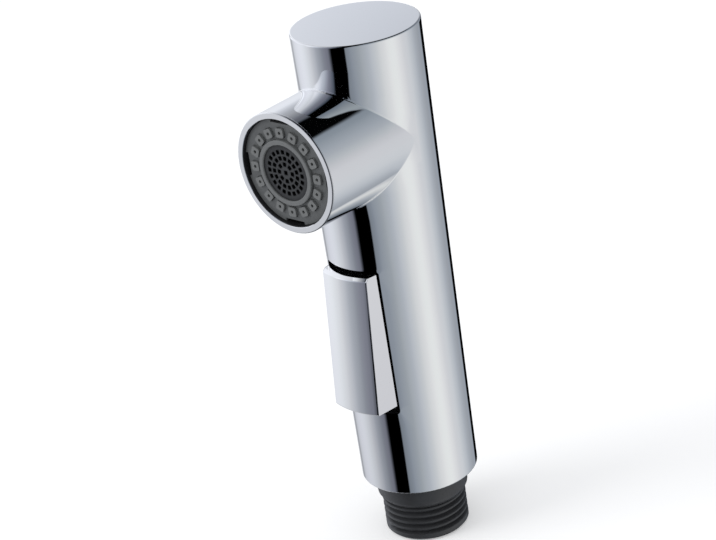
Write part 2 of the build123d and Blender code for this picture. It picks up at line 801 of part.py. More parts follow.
# Aerator cup: carries the diffuser on its inner step and is closed by the grid
cup_inner = grid_radius - cup_wall
cup_step_depth = cup_back + cup_step
with BuildPart() as aerator_cup:
    with BuildSketch(nozzle_profile):
        with BuildLine():
            Polyline(
                (cup_inlet_radius, cup_back),
                (grid_radius, cup_back),
                (grid_radius, grid_back),
                (cup_inner, grid_back),
                (cup_inner, cup_step_depth),
                (cup_inner - cup_step_width, cup_step_depth),
                (cup_inner - cup_step_width, cup_back + cup_floor),
                (cup_inlet_radius, cup_back + cup_floor),
                close=True,
            )
        make_face()
    revolve(axis=nozzle_axis)

aerator_o_ring = o_ring(
    nozzle_plane.offset(cup_back - cup_seal_section / 2), cup_bore - 2 * cup_seal_section, cup_seal_section
)

# Diffuser: drilled plate with a rim that spaces the screens from it
screen_radius = cup_inner - cup_fit
screen_seat = grid_back - 2 * screen_thickness - 2 * screen_gap
with BuildPart() as aerator_diffuser:
    with BuildSketch(nozzle_plane.offset(cup_step_depth)):
        Circle(screen_radius)
        with PolarLocations(diffuser_hole_circle, diffuser_hole_count):
            Circle(diffuser_hole_radius, mode=Mode.SUBTRACT)
    extrude(amount=diffuser_thickness)
    with BuildSketch(nozzle_plane.offset(cup_step_depth)):
        Circle(screen_radius)
        Circle(screen_radius - spacer_wall, mode=Mode.SUBTRACT)
    extrude(amount=screen_seat - cup_step_depth)

# Screens: two thin sieves in front of the diffuser
with BuildPart() as aerator_screens:
    for layer in range(2):
        with BuildSketch(nozzle_plane.offset(screen_seat + layer * (screen_thickness + screen_gap))):
            Circle(screen_radius)
        extrude(amount=screen_thickness)

os.makedirs("parts", exist_ok=True)
pieces = {
    "housing_shell": housing_shell.part,
    "lever_paddle": lever_paddle.part,
    "lever_cradle": lever_cradle.part,
    "lever_pin": lever_pin.part,
    "waterway_core": waterway_core.part,
    "inlet_connector": inlet_connector.part,
    "connector_o_ring": connector_o_ring,
    "inlet_strainer": inlet_strainer.part,
    "check_valve_housing": check_valve_housing.part,
    "check_valve_o_ring": check_valve_o_ring,
    "check_valve_cage": check_valve_cage.part,
    "check_valve_poppet": check_valve_poppet.part,
    "check_valve_spring": check_valve_spring,
    "diverter_bush": diverter_bush.part,
    "bush_o_ring": bush_o_ring,
    "stem_o_ring": stem_o_ring,
    "diverter_plunger": diverter_plunger.part,
    "diverter_seal": diverter_seal,
    "diverter_spring": diverter_spring,
    "spray_carrier": spray_carrier.part,
    "stream_tube_o_ring": stream_tube_o_ring,
    "carrier_o_ring": carrier_o_ring,
    "jet_mat": jet_mat.part,
    "spray_disc": spray_disc.part,
    "aerator_ring": aerator_ring.part,
    "aerator_grid": aerator_grid.part,
    "aerator_cup": aerator_cup.part,
    "aerator_o_ring": aerator_o_ring,
    "aerator_diffuser": aerator_diffuser.part,
    "aerator_screens": aerator_screens.part,
}
for name, piece in pieces.items():
    piece.label = name
    export_step(piece, f"parts/{name}.step")
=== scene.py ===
import math

import bmesh
import bpy
from mathutils import Matrix, Vector


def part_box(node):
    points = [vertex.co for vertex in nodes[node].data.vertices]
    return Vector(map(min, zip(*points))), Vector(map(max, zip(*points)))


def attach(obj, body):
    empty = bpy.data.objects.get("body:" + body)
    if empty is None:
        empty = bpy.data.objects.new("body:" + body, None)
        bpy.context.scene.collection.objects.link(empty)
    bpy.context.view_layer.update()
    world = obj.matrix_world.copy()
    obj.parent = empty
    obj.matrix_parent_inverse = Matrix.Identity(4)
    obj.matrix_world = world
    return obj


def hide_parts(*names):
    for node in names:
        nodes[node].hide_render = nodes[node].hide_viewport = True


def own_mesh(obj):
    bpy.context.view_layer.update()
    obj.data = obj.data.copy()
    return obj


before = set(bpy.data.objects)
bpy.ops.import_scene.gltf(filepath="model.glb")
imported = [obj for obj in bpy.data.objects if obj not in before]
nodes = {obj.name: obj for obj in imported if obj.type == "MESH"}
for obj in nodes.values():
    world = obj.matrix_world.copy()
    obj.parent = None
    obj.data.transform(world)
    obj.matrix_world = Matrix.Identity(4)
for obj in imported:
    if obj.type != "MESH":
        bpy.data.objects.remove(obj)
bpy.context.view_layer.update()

# Camera: a long lens a good half metre away, looking down on the spray nozzle's side of the handset and
# tipped a little, so that the casing leans to the right.
camera_place = Vector((0.34062, -0.34409, 0.29481))
camera_azimuth = math.radians(45.643)
camera_elevation = math.radians(24.757)
camera_roll = math.radians(-8.84)
backward = Vector((
    math.sin(camera_azimuth) * math.cos(camera_elevation),
    -math.cos(camera_azimuth) * math.cos(camera_elevation),
    math.sin(camera_elevation),
))
level_right = (-backward).cross(Vector((0, 0, 1))).normalized()
level_up = level_right.cross(-backward)
right = math.cos(camera_roll) * level_right + math.sin(camera_roll) * level_up
upward = math.cos(camera_roll) * level_up - math.sin(camera_roll) * level_right
camera_data = bpy.data.cameras.new("camera")
camera_data.lens = 111.45
camera_data.sensor_width = 36
camera_data.clip_start = 0.01
camera = bpy.data.objects.new("camera", camera_data)
camera_turn = Matrix((right, upward, backward)).transposed().to_4x4()
camera.matrix_world = Matrix.Translation(camera_place) @ camera_turn
bpy.context.scene.collection.objects.link(camera)
bpy.context.scene.camera = camera
bpy.context.scene.view_settings.view_transform = "Standard"

# Studio: a round tent of white cloth, open and dark overhead, with two black flags that draw the dark lines
# down the chrome. Mirror surfaces see the tent, matt ones get plain even light, and the lens sees white.
tent_cloth = [  # azimuth in degrees, and the light of the cloth there
    (-180, (0.79, 0.81, 0.89)),
    (-164, (0.84, 0.865, 0.94)),
    (-150, (0.77, 0.8, 0.86)),
    (-138, (0.635, 0.655, 0.71)),
    (-126, (0.445, 0.47, 0.53)),
    (-114, (0.293, 0.315, 0.367)),
    (-104, (0.208, 0.218, 0.27)),
    (-82, (0.15, 0.17, 0.21)),
    (-70, (0.18, 0.205, 0.24)),
    (-60, (0.245, 0.275, 0.32)),
    (-44, (0.34, 0.37, 0.405)),
    (-28, (0.445, 0.475, 0.52)),
    (-12, (0.59, 0.61, 0.63)),
    (2, (0.71, 0.72, 0.73)),
    (13, (0.76, 0.78, 0.78)),
    (24, (0.735, 0.745, 0.755)),
    (36, (0.64, 0.65, 0.675)),
    (52, (0.555, 0.58, 0.615)),
    (68, (0.415, 0.445, 0.49)),
    (84, (0.325, 0.35, 0.39)),
    (100, (0.29, 0.32, 0.37)),
    (108, (0.2, 0.21, 0.25)),
    (116, (0.32, 0.34, 0.39)),
    (124, (0.5, 0.52, 0.57)),
    (130, (0.62, 0.65, 0.715)),
    (136, (0.71, 0.74, 0.81)),
    (143, (0.81, 0.83, 0.88)),
    (150, (0.76, 0.775, 0.815)),
    (158, (0.4, 0.41, 0.445)),
    (167, (0.62, 0.645, 0.7)),
    (179, (0.78, 0.8, 0.875)),
]
right_hand_fall = [  # elevation in degrees, and the share of the light left at that height
    (-60, (0.9, 0.9, 0.9)),
    (-42, (1.0, 1.0, 1.0)),
    (-22, (1.0, 1.0, 1.0)),
    (-8, (0.95, 0.945, 0.955)),
    (0, (0.86, 0.86, 0.873)),
    (8, (0.737, 0.766, 0.78)),
    (16, (0.625, 0.657, 0.692)),
    (24, (0.549, 0.588, 0.631)),
    (30, (0.494, 0.533, 0.575)),
    (36, (0.436, 0.478, 0.52)),
    (44, (0.42, 0.46, 0.5)),
]
left_hand_fall = [
    (-60, (0.5, 0.5, 0.5)),
    (-34, (0.67, 0.67, 0.67)),
    (-27, (0.8, 0.8, 0.8)),
    (-23, (0.822, 0.822, 0.822)),
    (-19, (0.895, 0.895, 0.89)),
    (-8, (0.9, 0.9, 0.9)),
    (10, (1.0, 1.0, 1.0)),
    (20, (1.0, 1.0, 1.0)),
    (36, (0.9, 0.9, 0.9)),
    (54, (0.83, 0.83, 0.83)),
    (64, (0.6, 0.6, 0.6)),
    (73, (0.0, 0.0, 0.0)),
]
left_hand_near = (-97, -85)  # azimuths over which the tent's left-hand side begins, and over which it ends
left_hand_far = (98, 108)
flag_lean = 0.33  # degrees of azimuth that the front flag leans for each degree of height
flag_shift = 9.24
near_side_top = 24  # the near side leans up to this height, and the far side leans more above the next one
far_side_bend = 20
far_side_lean = 0.3
front_flag_near = (-103.8, -95.6)
front_flag_far = (-72.7, -70.4)
back_flag_near = (99, 102)
back_flag_far = (130, 135)
back_flag_top = (-12, -4)
back_flag_dark = 0.995
back_shade_far = (130, 142)  # a fainter shade stands above the back flag
back_shade_foot = (15.5, 21)
back_shade_dark = 0.32
opening_turn = (-18, 48)  # the opening overhead comes lower from one azimuth to the other
opening_height = (60, 42)
opening_soft = 2
opening_light = 0.004
glow_near = (-148, -135)  # two soft glows on the cloth, the second one stronger
glow_far = (-112, -94)
second_glow_near = (145, 153)
second_glow_far = (166, 180)
second_glow_share = 1.6
glow_foot = (-14, 0)
glow_top = (24, 46)
glow_gain = 0.38
tent_gain = 1.115
even_colour = (0.78, 0.79, 0.81, 1)
white = (1, 1, 1, 1)


class Bench:
    """Short calls that lay out and wire up the nodes of one tree."""

    def __init__(self, tree):
        self.tree = tree

    def node(self, kind, **settings):
        """A new node of this kind, set as given."""
        made = self.tree.nodes.new(kind)
        for name, value in settings.items():
            setattr(made, name, value)
        return made

    def put(self, value, socket):
        """A plain value, or what another node gives, goes into a socket."""
        if isinstance(value, bpy.types.NodeSocket):
            self.tree.links.new(value, socket)
        else:
            socket.default_value = value

    def work(self, operation, *values):
        """One step of arithmetic on nodes or numbers."""
        made = self.node("ShaderNodeMath", operation=operation)
        for socket, value in zip(made.inputs, values):
            self.put(value, socket)
        return made.outputs[0]

    def edge(self, place, start, stop, first=0.0, last=1.0, ease="SMOOTHSTEP"):
        """A step from the first value to the last between two places, soft unless another ease is given."""
        made = self.node("ShaderNodeMapRange", interpolation_type=ease)
        for socket, value in zip(made.inputs, (place, start, stop, first, last)):
            self.put(value, socket)
        return made.outputs["Result"]


world = bpy.data.worlds.new("studio")
bpy.context.scene.world = world
world.use_nodes = True
world.node_tree.nodes.clear()
studio = Bench(world.node_tree)


def cloth_ramp(stops, place, span, ease):
    """Light read off stops that are set in degrees, over a span with its middle at 0."""
    made = studio.node("ShaderNodeValToRGB")
    studio.put(studio.work("MULTIPLY_ADD", place, 1 / span, 0.5), made.inputs["Fac"])
    ramp = made.color_ramp
    ramp.interpolation = ease
    while len(ramp.elements) < len(stops):
        ramp.elements.new(0.5)
    for element, (degrees, light) in zip(ramp.elements, stops):
        element.position = 0.5 + degrees / span
        element.color = (*light, 1)
    return made.outputs["Color"]


to_degrees = 180 / math.pi
direction = studio.node("ShaderNodeSeparateXYZ")
studio.put(studio.node("ShaderNodeTexCoord").outputs["Generated"], direction.inputs[0])
azimuth = studio.work("ARCTAN2", direction.outputs["Y"], direction.outputs["X"])
azimuth = studio.work("MULTIPLY", azimuth, to_degrees)
elevation = studio.work("MULTIPLY", studio.work("ARCSINE", direction.outputs["Z"]), to_degrees)
cloth = cloth_ramp(tent_cloth, azimuth, 360, "CARDINAL")
left_hand = studio.edge(azimuth, *left_hand_near, 1, 0)
left_hand = studio.work("ADD", left_hand, studio.edge(azimuth, *left_hand_far))
fall = studio.node("ShaderNodeMix", data_type="RGBA")
studio.put(left_hand, fall.inputs["Factor"])
studio.put(cloth_ramp(right_hand_fall, elevation, 180, "LINEAR"), fall.inputs["A"])
studio.put(cloth_ramp(left_hand_fall, elevation, 180, "LINEAR"), fall.inputs["B"])

slant = studio.work("MINIMUM", elevation, near_side_top)
slant = studio.work("MULTIPLY_ADD", slant, -flag_lean, -flag_shift)
front_flag = studio.edge(studio.work("ADD", azimuth, slant), *front_flag_near)
slant = studio.work("MULTIPLY_ADD", elevation, -flag_lean, -flag_shift)
over_bend = studio.work("MAXIMUM", studio.work("SUBTRACT", elevation, far_side_bend), 0)
slant = studio.work("MULTIPLY_ADD", over_bend, -far_side_lean, slant)
far_side = studio.edge(studio.work("ADD", azimuth, slant), *front_flag_far, 1, 0)
front_flag = studio.work("MULTIPLY", front_flag, far_side)
back_flag = studio.edge(azimuth, *back_flag_far, back_flag_dark, 0)
back_flag = studio.work("MULTIPLY", studio.edge(azimuth, *back_flag_near), back_flag)
back_flag = studio.work("MULTIPLY", back_flag, studio.edge(elevation, *back_flag_top, 1, 0))
back_shade = studio.edge(azimuth, *back_shade_far, back_shade_dark, 0)
back_shade = studio.work("MULTIPLY", studio.edge(azimuth, *left_hand_far), back_shade)
back_shade = studio.work("MULTIPLY", back_shade, studio.edge(elevation, *back_shade_foot))
open_cloth = studio.work("SUBTRACT", 1, front_flag)
open_cloth = studio.work("MULTIPLY", open_cloth, studio.work("SUBTRACT", 1, back_flag))
open_cloth = studio.work("MULTIPLY", open_cloth, studio.work("SUBTRACT", 1, back_shade))
over_edge = studio.edge(azimuth, *opening_turn, *opening_height, "LINEAR")
over_edge = studio.work("SUBTRACT", elevation, over_edge)
under_opening = studio.edge(over_edge, -opening_soft, opening_soft, 1, opening_light)
open_cloth = studio.work("MULTIPLY", open_cloth, studio.work("MAXIMUM", under_opening, left_hand))
glow = studio.work("MULTIPLY", studio.edge(azimuth, *glow_near), studio.edge(azimuth, *glow_far, 1, 0))
second_glow = studio.edge(azimuth, *second_glow_far, second_glow_share, 0)
second_glow = studio.work("MULTIPLY", studio.edge(azimuth, *second_glow_near), second_glow)
glow = studio.work("MULTIPLY", studio.work("ADD", glow, second_glow), studio.edge(elevation, *glow_foot))
glow = studio.work("MULTIPLY", glow, studio.edge(elevation, *glow_top, 1, 0))
open_cloth = studio.work("MULTIPLY", open_cloth, studio.work("MULTIPLY_ADD", glow, glow_gain, 1))
open_cloth = studio.work("MULTIPLY", open_cloth, tent_gain)

tent = studio.node("ShaderNodeMix", data_type="RGBA", blend_type="MULTIPLY")
studio.put(1, tent.inputs["Factor"])
studio.put(cloth, tent.inputs["A"])
studio.put(fall.outputs["Result"], tent.inputs["B"])
seen_in_gloss = studio.node("ShaderNodeBackground")
studio.put(tent.outputs["Result"], seen_in_gloss.inputs["Color"])
studio.put(open_cloth, seen_in_gloss.inputs["Strength"])
even_light = studio.node("ShaderNodeBackground")
studio.put(even_colour, even_light.inputs["Color"])
plain_white = studio.node("ShaderNodeBackground")
studio.put(white, plain_white.inputs["Color"])
ray = studio.node("ShaderNodeLightPath").outputs
matt_or_gloss = studio.node("ShaderNodeMixShader")
studio.put(studio.work("MAXIMUM", ray["Is Glossy Ray"], ray["Is Transmission Ray"]), matt_or_gloss.inputs[0])
studio.put(even_light.outputs[0], matt_or_gloss.inputs[1])
studio.put(seen_in_gloss.outputs[0], matt_or_gloss.inputs[2])
all_rays = studio.node("ShaderNodeMixShader")
studio.put(ray["Is Camera Ray"], all_rays.inputs[0])
studio.put(matt_or_gloss.outputs[0], all_rays.inputs[1])
studio.put(plain_white.outputs[0], all_rays.inputs[2])
studio.put(all_rays.outputs[0], studio.node("ShaderNodeOutputWorld").inputs["Surface"])

# Key lamp: one large soft panel up on the nozzle's side, for the matt pieces and the shadow. It stays out of
# the chrome, where the tent is seen.
key_place = Vector((-0.7, -1.1, 1.0))
key_data = bpy.data.lights.new("key", "AREA")
key_data.shape = "DISK"
key_data.size = 0.9
key_data.energy = 9
key = bpy.data.objects.new("key", key_data)
key.matrix_world = Matrix.Translation(key_place) @ key_place.to_track_quat("Z", "Y").to_matrix().to_4x4()
key.visible_glossy = False
bpy.context.scene.collection.objects.link(key)

# Floor: plain pale paper just under the handset. It keeps the shadow and stays out of the chrome, and for the
# lens alone it has a little light of its own, which brings it up to white.
floor_half = 2.0
floor_height = -0.0002
floor_mesh = bpy.data.meshes.new("floor")
floor_mesh.from_pydata(
    [(x * floor_half, y * floor_half, floor_height) for x, y in ((-1, -1), (1, -1), (1, 1), (-1, 1))],
    [],
    [(0, 1, 2, 3)],
)
floor = bpy.data.objects.new("floor", floor_mesh)
bpy.context.scene.collection.objects.link(floor)
floor.visible_glossy = False
paper_colour = (0.8, 0.8, 0.8, 1)
paper_light = (0.3, 0.3, 0.3, 1)
paper = bpy.data.materials.new("floor_paper")
paper.use_nodes = True
paper.node_tree.nodes.clear()
paper_bench = Bench(paper.node_tree)
paper_matt = paper_bench.node("ShaderNodeBsdfDiffuse")
paper_bench.put(paper_colour, paper_matt.inputs["Color"])
paper_white = paper_bench.node("ShaderNodeEmission")
paper_bench.put(paper_light, paper_white.inputs["Color"])
paper_ray = paper_bench.node("ShaderNodeLightPath").outputs
paper_bench.put(paper_ray["Is Camera Ray"], paper_white.inputs["Strength"])
paper_sum = paper_bench.node("ShaderNodeAddShader")
paper_bench.put(paper_matt.outputs[0], paper_sum.inputs[0])
paper_bench.put(paper_white.outputs[0], paper_sum.inputs[1])
paper_bench.put(paper_sum.outputs[0], paper_bench.node("ShaderNodeOutputMaterial").inputs["Surface"])
floor_mesh.materials.append(paper)

# Housing shell: the tapered casing and its spray nozzle, one plated moulding, polished to a mirror. The
# plating has a faint ripple from the mould and the dulling of a few fingers.


class Finish(Bench):
    """A material with one principled shader, and short calls for what feeds it."""

    def __init__(self, name, colour, metallic, roughness):
        self.material = bpy.data.materials.new(name)
        self.material.use_nodes = True
        super().__init__(self.material.node_tree)
        self.shader = self.tree.nodes["Principled BSDF"]
        self.put((*colour, 1), self.shader.inputs["Base Color"])
        self.put(metallic, self.shader.inputs["Metallic"])
        self.put(roughness, self.shader.inputs["Roughness"])
        self.place = self.node("ShaderNodeTexCoord").outputs["Object"]

    def grain(self, scale, detail=3.0):
        """Noise of so many lumps to the metre, from 0 to 1."""
        noise = self.node("ShaderNodeTexNoise")
        self.put(scale, noise.inputs["Scale"])
        self.put(detail, noise.inputs["Detail"])
        self.put(self.place, noise.inputs["Vector"])
        return noise.outputs["Fac"]

    def spread(self, value, low, high):
        """The middle of a noise's range, where it mostly lies, stretched from low to high."""
        return self.edge(value, 0.3, 0.7, low, high, "LINEAR")

    def axes(self):
        """The surface's own X, Y and Z in metres."""
        apart = self.node("ShaderNodeSeparateXYZ")
        self.put(self.place, apart.inputs[0])
        return apart.outputs

    def from_axis(self, first, second, middle=0.0):
        """Distance from an axis, across which the two coordinates run."""
        over = self.work("SUBTRACT", second, middle)
        squares = self.work("ADD", self.work("MULTIPLY", first, first), self.work("MULTIPLY", over, over))
        return self.work("SQRT", squares)

    def feed(self, socket, value):
        """A value drives one of the shader's own sockets."""
        self.put(value, self.shader.inputs[socket])

    def lean(self, where, *normal):
        """The surface faces along its own X, Y and Z parts there, on top of any other lean."""
        whole = self.node("ShaderNodeCombineXYZ")
        for part, socket in zip(normal, whole.inputs):
            self.put(part, socket)
        unit = self.node("ShaderNodeVectorMath", operation="NORMALIZE")
        self.put(whole.outputs[0], unit.inputs[0])
        in_world = self.node("ShaderNodeVectorTransform", vector_type="NORMAL")
        in_world.convert_from = "OBJECT"
        in_world.convert_to = "WORLD"
        self.put(unit.outputs[0], in_world.inputs[0])
        if self.shader.inputs["Normal"].links:
            before = self.shader.inputs["Normal"].links[0].from_socket
        else:
            before = self.node("ShaderNodeNewGeometry").outputs["Normal"]
        mix = self.node("ShaderNodeMix", data_type="VECTOR")
        self.put(where, mix.inputs["Factor"])
        self.put(before, mix.inputs["A"])
        self.put(in_world.outputs[0], mix.inputs["B"])
        self.feed("Normal", mix.outputs["Result"])

    def tone(self, value, first, second):
        """The base colour runs from the first colour, or from the tone it has, to the second."""
        mix = self.node("ShaderNodeMix", data_type="RGBA")
        self.put(value, mix.inputs["Factor"])
        self.put((*first, 1), mix.inputs["A"])
        self.put((*second, 1), mix.inputs["B"])
        for link in self.shader.inputs["Base Color"].links:
            self.put(link.from_socket, mix.inputs["A"])
        self.feed("Base Color", mix.outputs["Result"])

    def relief(self, value, depth, strength=1.0):
        """Bump of so many metres, on top of any that is there."""
        bump = self.node("ShaderNodeBump")
        self.put(strength, bump.inputs["Strength"])
        self.put(depth, bump.inputs["Distance"])
        self.put(value, bump.inputs["Height"])
        for link in self.shader.inputs["Normal"].links:
            self.put(link.from_socket, bump.inputs["Normal"])
        self.feed("Normal", bump.outputs["Normal"])


def wear(node_name, finish):
    """A carried node takes the finish in all its material slots."""
    for material_slot in nodes[node_name].material_slots:
        material_slot.material = finish.material


def rippled(plating):
    """The plating takes the faint ripple of the mould."""
    plating.relief(plating.grain(60, detail=1.0), depth=0.00001, strength=0.25)


def dulling(plating):
    """Roughness of a mirror that a few fingers have touched."""
    return plating.spread(plating.grain(90), low=0.018, high=0.04)


chrome_colour = (0.87, 0.875, 0.88)
chrome_roughness = 0.03

# The same plating on the casing. Inside, its bore and cavity are painted black and not metallic, as painted
# shade. The casing's side shades as a true cone, its two round edges as true arcs, and so does the bevel
# between the nozzle's face and its side. A painted highlight lightens the face's rim, and a painted dark
# reflection runs along the bevel.
nozzle_height = 0.1074
nozzle_reach = 0.0293
nozzle_radius = 0.0147
nozzle_bevel = 0.00025
bore_wall = 0.01316
bore_foot = -0.012
cavity_wall = 0.0141
cavity_foot = 0.0163
cavity_head = 0.1318
casing_edge_round = 0.00045
casing_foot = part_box("housing_shell")[0][2]
casing_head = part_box("housing_shell")[1][2]
casing_foot_radius = 0.01449
casing_head_radius = 0.01529
wall_play = 0.00008  # how far off the cone the surface may lie and still shade as the cone
cone_reach = 0.0023  # how far in front of the axis the cone's shading goes, except beside the nozzle
beside_nozzle_reach = 0.006
painted_rim_highlight_colour = (0.97, 0.97, 0.965)
painted_rim_highlight_depth = 0.0001
painted_bevel_line_colour = (0.24, 0.245, 0.255)
painted_line_middle_share = 0.3  # how dark the painted reflection line on the bevel is in the middle, and how fast it darkens towards +X
painted_line_share_slope = 160
bevel_relief_depth = 0.0002
painted_inside_shade_colour = (0.012, 0.012, 0.013)
dark_inside_roughness = 0.45
casing = Finish("polished_chrome_casing", chrome_colour, metallic=1.0, roughness=chrome_roughness)
x, y, z = casing.axes()
from_middle = casing.from_axis(x, y)
casing_taper = (casing_head_radius - casing_foot_radius) / (casing_head - casing_foot)
wall = casing.work("MULTIPLY_ADD", z, casing_taper, casing_foot_radius - casing_taper * casing_foot)
off_wall = casing.work("ABSOLUTE", casing.work("SUBTRACT", from_middle, wall))
off_nozzle = casing.work("ABSOLUTE", casing.work("SUBTRACT", z, nozzle_height))
beside_nozzle = casing.work("LESS_THAN", off_nozzle, beside_nozzle_reach)
cone_front = casing.work("MULTIPLY_ADD", beside_nozzle, cone_reach, -cone_reach)
on_wall = casing.work("LESS_THAN", off_wall, wall_play)
on_wall = casing.work("MULTIPLY", on_wall, casing.work("GREATER_THAN", y, cone_front))
casing.lean(on_wall, x, y, casing.work("MULTIPLY", wall, -casing_taper))
for edge, radius, outward in ((casing_head, casing_head_radius, 1), (casing_foot, casing_foot_radius, -1)):
    rise = casing.work("SUBTRACT", z, edge - outward * casing_edge_round)
    over = casing.work("SUBTRACT", from_middle, radius - casing_edge_round)
    share = casing.work("DIVIDE", casing.work("MAXIMUM", over, 0), from_middle)
    at_edge = casing.work("GREATER_THAN", casing.work("MULTIPLY", rise, outward), 0)
    if outward < 0:
        at_edge = casing.work("MULTIPLY", at_edge, casing.work("GREATER_THAN", over, 0))
    casing.lean(at_edge, casing.work("MULTIPLY", x, share), casing.work("MULTIPLY", y, share), rise)
rippled(casing)

from_nozzle = casing.from_axis(x, z, nozzle_height)
in_bore = casing.work("LESS_THAN", from_nozzle, bore_wall)
in_bore = casing.work("MULTIPLY", in_bore, casing.work("LESS_THAN", y, bore_foot))
in_cavity = casing.work("LESS_THAN", from_middle, cavity_wall)
in_cavity = casing.work("MULTIPLY", in_cavity, casing.work("GREATER_THAN", z, cavity_foot))
in_cavity = casing.work("MULTIPLY", in_cavity, casing.work("LESS_THAN", z, cavity_head))
# Painted shade: the casing's bore and cavity are painted black and not metallic, in place of the shade
# inside.
painted_dark_inside = casing.work("MAXIMUM", in_bore, in_cavity)
# Painted highlight: the nozzle face's rim takes a paler, less blue colour than the rest of the plating.
casing.tone(casing.work("LESS_THAN", y, painted_rim_highlight_depth - nozzle_reach), chrome_colour, painted_rim_highlight_colour)
# Painted reflection: a dark line along the bevel, put into the plating's colour and darker towards +X.
painted_line_on_bevel = casing.work("GREATER_THAN", from_nozzle, nozzle_radius - nozzle_bevel)
painted_line_on_bevel = casing.work("MULTIPLY", painted_line_on_bevel, casing.work("LESS_THAN", y, nozzle_bevel - nozzle_reach))
painted_line_share = casing.work("MULTIPLY_ADD", x, painted_line_share_slope, painted_line_middle_share)
casing.tone(casing.work("MULTIPLY", painted_line_on_bevel, painted_line_share), chrome_colour, painted_bevel_line_colour)
casing.tone(painted_dark_inside, chrome_colour, painted_inside_shade_colour)
casing.feed("Metallic", casing.work("SUBTRACT", 1, painted_dark_inside))
casing.feed("Roughness", casing.work("MULTIPLY_ADD", painted_dark_inside, dark_inside_roughness, dulling(casing)))

edge_radius = nozzle_bevel / math.sqrt(2)
along_edge = casing.work("SUBTRACT", casing.work("ADD", from_nozzle, y), nozzle_radius - nozzle_reach)
along_edge = casing.work("MULTIPLY", along_edge, 1 / math.sqrt(2))
along_edge = casing.work("MAXIMUM", casing.work("MINIMUM", along_edge, edge_radius), -edge_radius)
arc = casing.work("MULTIPLY", casing.work("MULTIPLY", along_edge, along_edge), -0.5 / edge_radius)
near_face = casing.work("LESS_THAN", y, bevel_relief_depth - nozzle_reach + nozzle_bevel)
casing.relief(casing.work("MULTIPLY", arc, near_face), depth=1.0)
wear("housing_shell", casing)

# Lever paddle: the rocking push lever, plated like the casing. Its front corners are flattened to narrow
# facets, and its sides are painted a shade darker and bluer, as painted shade.
facet_centre = 0.006583
facet_round = 0.0004
facet_lean = math.radians(25)
facet_start = math.radians(19.6)
facet_stop = math.radians(78)
side_face = 0.00695
painted_side_shade_colour = (0.775, 0.775, 0.80)
paddle_colour = (0.955, 0.955, 0.945)
paddle_chrome = Finish("polished_chrome_paddle", paddle_colour, metallic=1.0, roughness=chrome_roughness)
out_from_middle = paddle_chrome.work("ABSOLUTE", paddle_chrome.axes()["X"])
corner = paddle_chrome.work("SUBTRACT", out_from_middle, facet_centre)
corner = paddle_chrome.work("DIVIDE", corner, facet_round)
corner = paddle_chrome.work("MINIMUM", corner, math.sin(facet_stop))
corner = paddle_chrome.work("MAXIMUM", corner, math.sin(facet_start))
corner = paddle_chrome.work("SUBTRACT", paddle_chrome.work("ARCSINE", corner), facet_lean)
facet = paddle_chrome.work("LOGARITHM", paddle_chrome.work("COSINE", corner), math.e)
painted_side_shade = paddle_chrome.work("GREATER_THAN", out_from_middle, side_face)
# Painted shade: the paddle's sides take a darker, bluer colour than its front.
paddle_chrome.tone(painted_side_shade, paddle_colour, painted_side_shade_colour)
paddle_chrome.feed("Roughness", dulling(paddle_chrome))
rippled(paddle_chrome)
paddle_chrome.relief(paddle_chrome.work("MULTIPLY", facet, -facet_round), depth=1.0)
wear("lever_paddle", paddle_chrome)

# Hose joint: a male G 1/2 thread and its plain collar, screwed and glued into the casing's foot. It is
# moulded in black glass-filled nylon. The thread's groove starts blunt and fades out under the collar.
joint_steps = 240
thread_crest = 0.0104775
thread_root = 0.00934
thread_pitch = 0.001814
thread_foot = 0.0006
thread_head = 0.0095
thread_rows = 130
crest_height = 0.0033  # where a crest stands on the line at this angle
crest_line = math.radians(-44.4)
crest_half = 0.10  # shares of the pitch from the crest's middle where the groove's flank starts and ends
root_start = 0.42
groove_start = -1.19  # turns at which the groove starts, and has its whole depth
groove_whole = -1.14
groove_fade = 0.0003
joint_profile = [  # radius and height in millimetres, from the mouth's edge up the outside
    (7.6, 0.25), (7.85, 0.0), (9.8, 0.0), (9.98, 0.06), (10.4, 0.5),
]
joint_profile += [
    (thread_crest * 1000, 1000 * (thread_foot + (thread_head - thread_foot) * row / thread_rows))
    for row in range(thread_rows + 1)
]
joint_profile += [(10.62, 9.72), (10.86, 10.0), (11.14, 10.35), (11.32, 10.7), (11.4, 11.2), (11.4, 15.96)]
joint_profile += [(11.4, 16.0), (12.74, 16.0), (12.74, 24.0), (9.5, 24.0), (9.5, 27.85), (8.6, 27.85)]
joint_profile += [(8.6, 29.15), (9.5, 29.15), (9.5, 32.8), (9.3, 33.0), (6.7, 33.0), (6.7, 10.5)]
joint_profile += [(7.3, 10.5), (7.3, 7.0), (7.6, 7.0)]


def placed(name, mesh):
    """A new object in the scene, at the origin."""
    made = bpy.data.objects.new(name, mesh)
    bpy.context.scene.collection.objects.link(made)
    return made


def turned(name, profile, steps):
    """A closed round solid turned about +Z from radius and height pairs in millimetres."""
    shape = bmesh.new()
    columns = []
    for step in range(steps):
        across, along = math.cos(math.tau * step / steps), math.sin(math.tau * step / steps)
        columns.append([
            shape.verts.new((reach * across / 1000, reach * along / 1000, z / 1000)) for reach, z in profile
        ])
    for step in range(steps):
        here, beyond = columns[step], columns[(step + 1) % steps]
        for row in range(len(profile)):
            after = (row + 1) % len(profile)
            shape.faces.new((here[row], beyond[row], beyond[after], here[after]))
    bmesh.ops.recalc_face_normals(shape, faces=shape.faces)
    mesh = bpy.data.meshes.new(name)
    shape.to_mesh(mesh)
    shape.free()
    return placed(name, mesh)


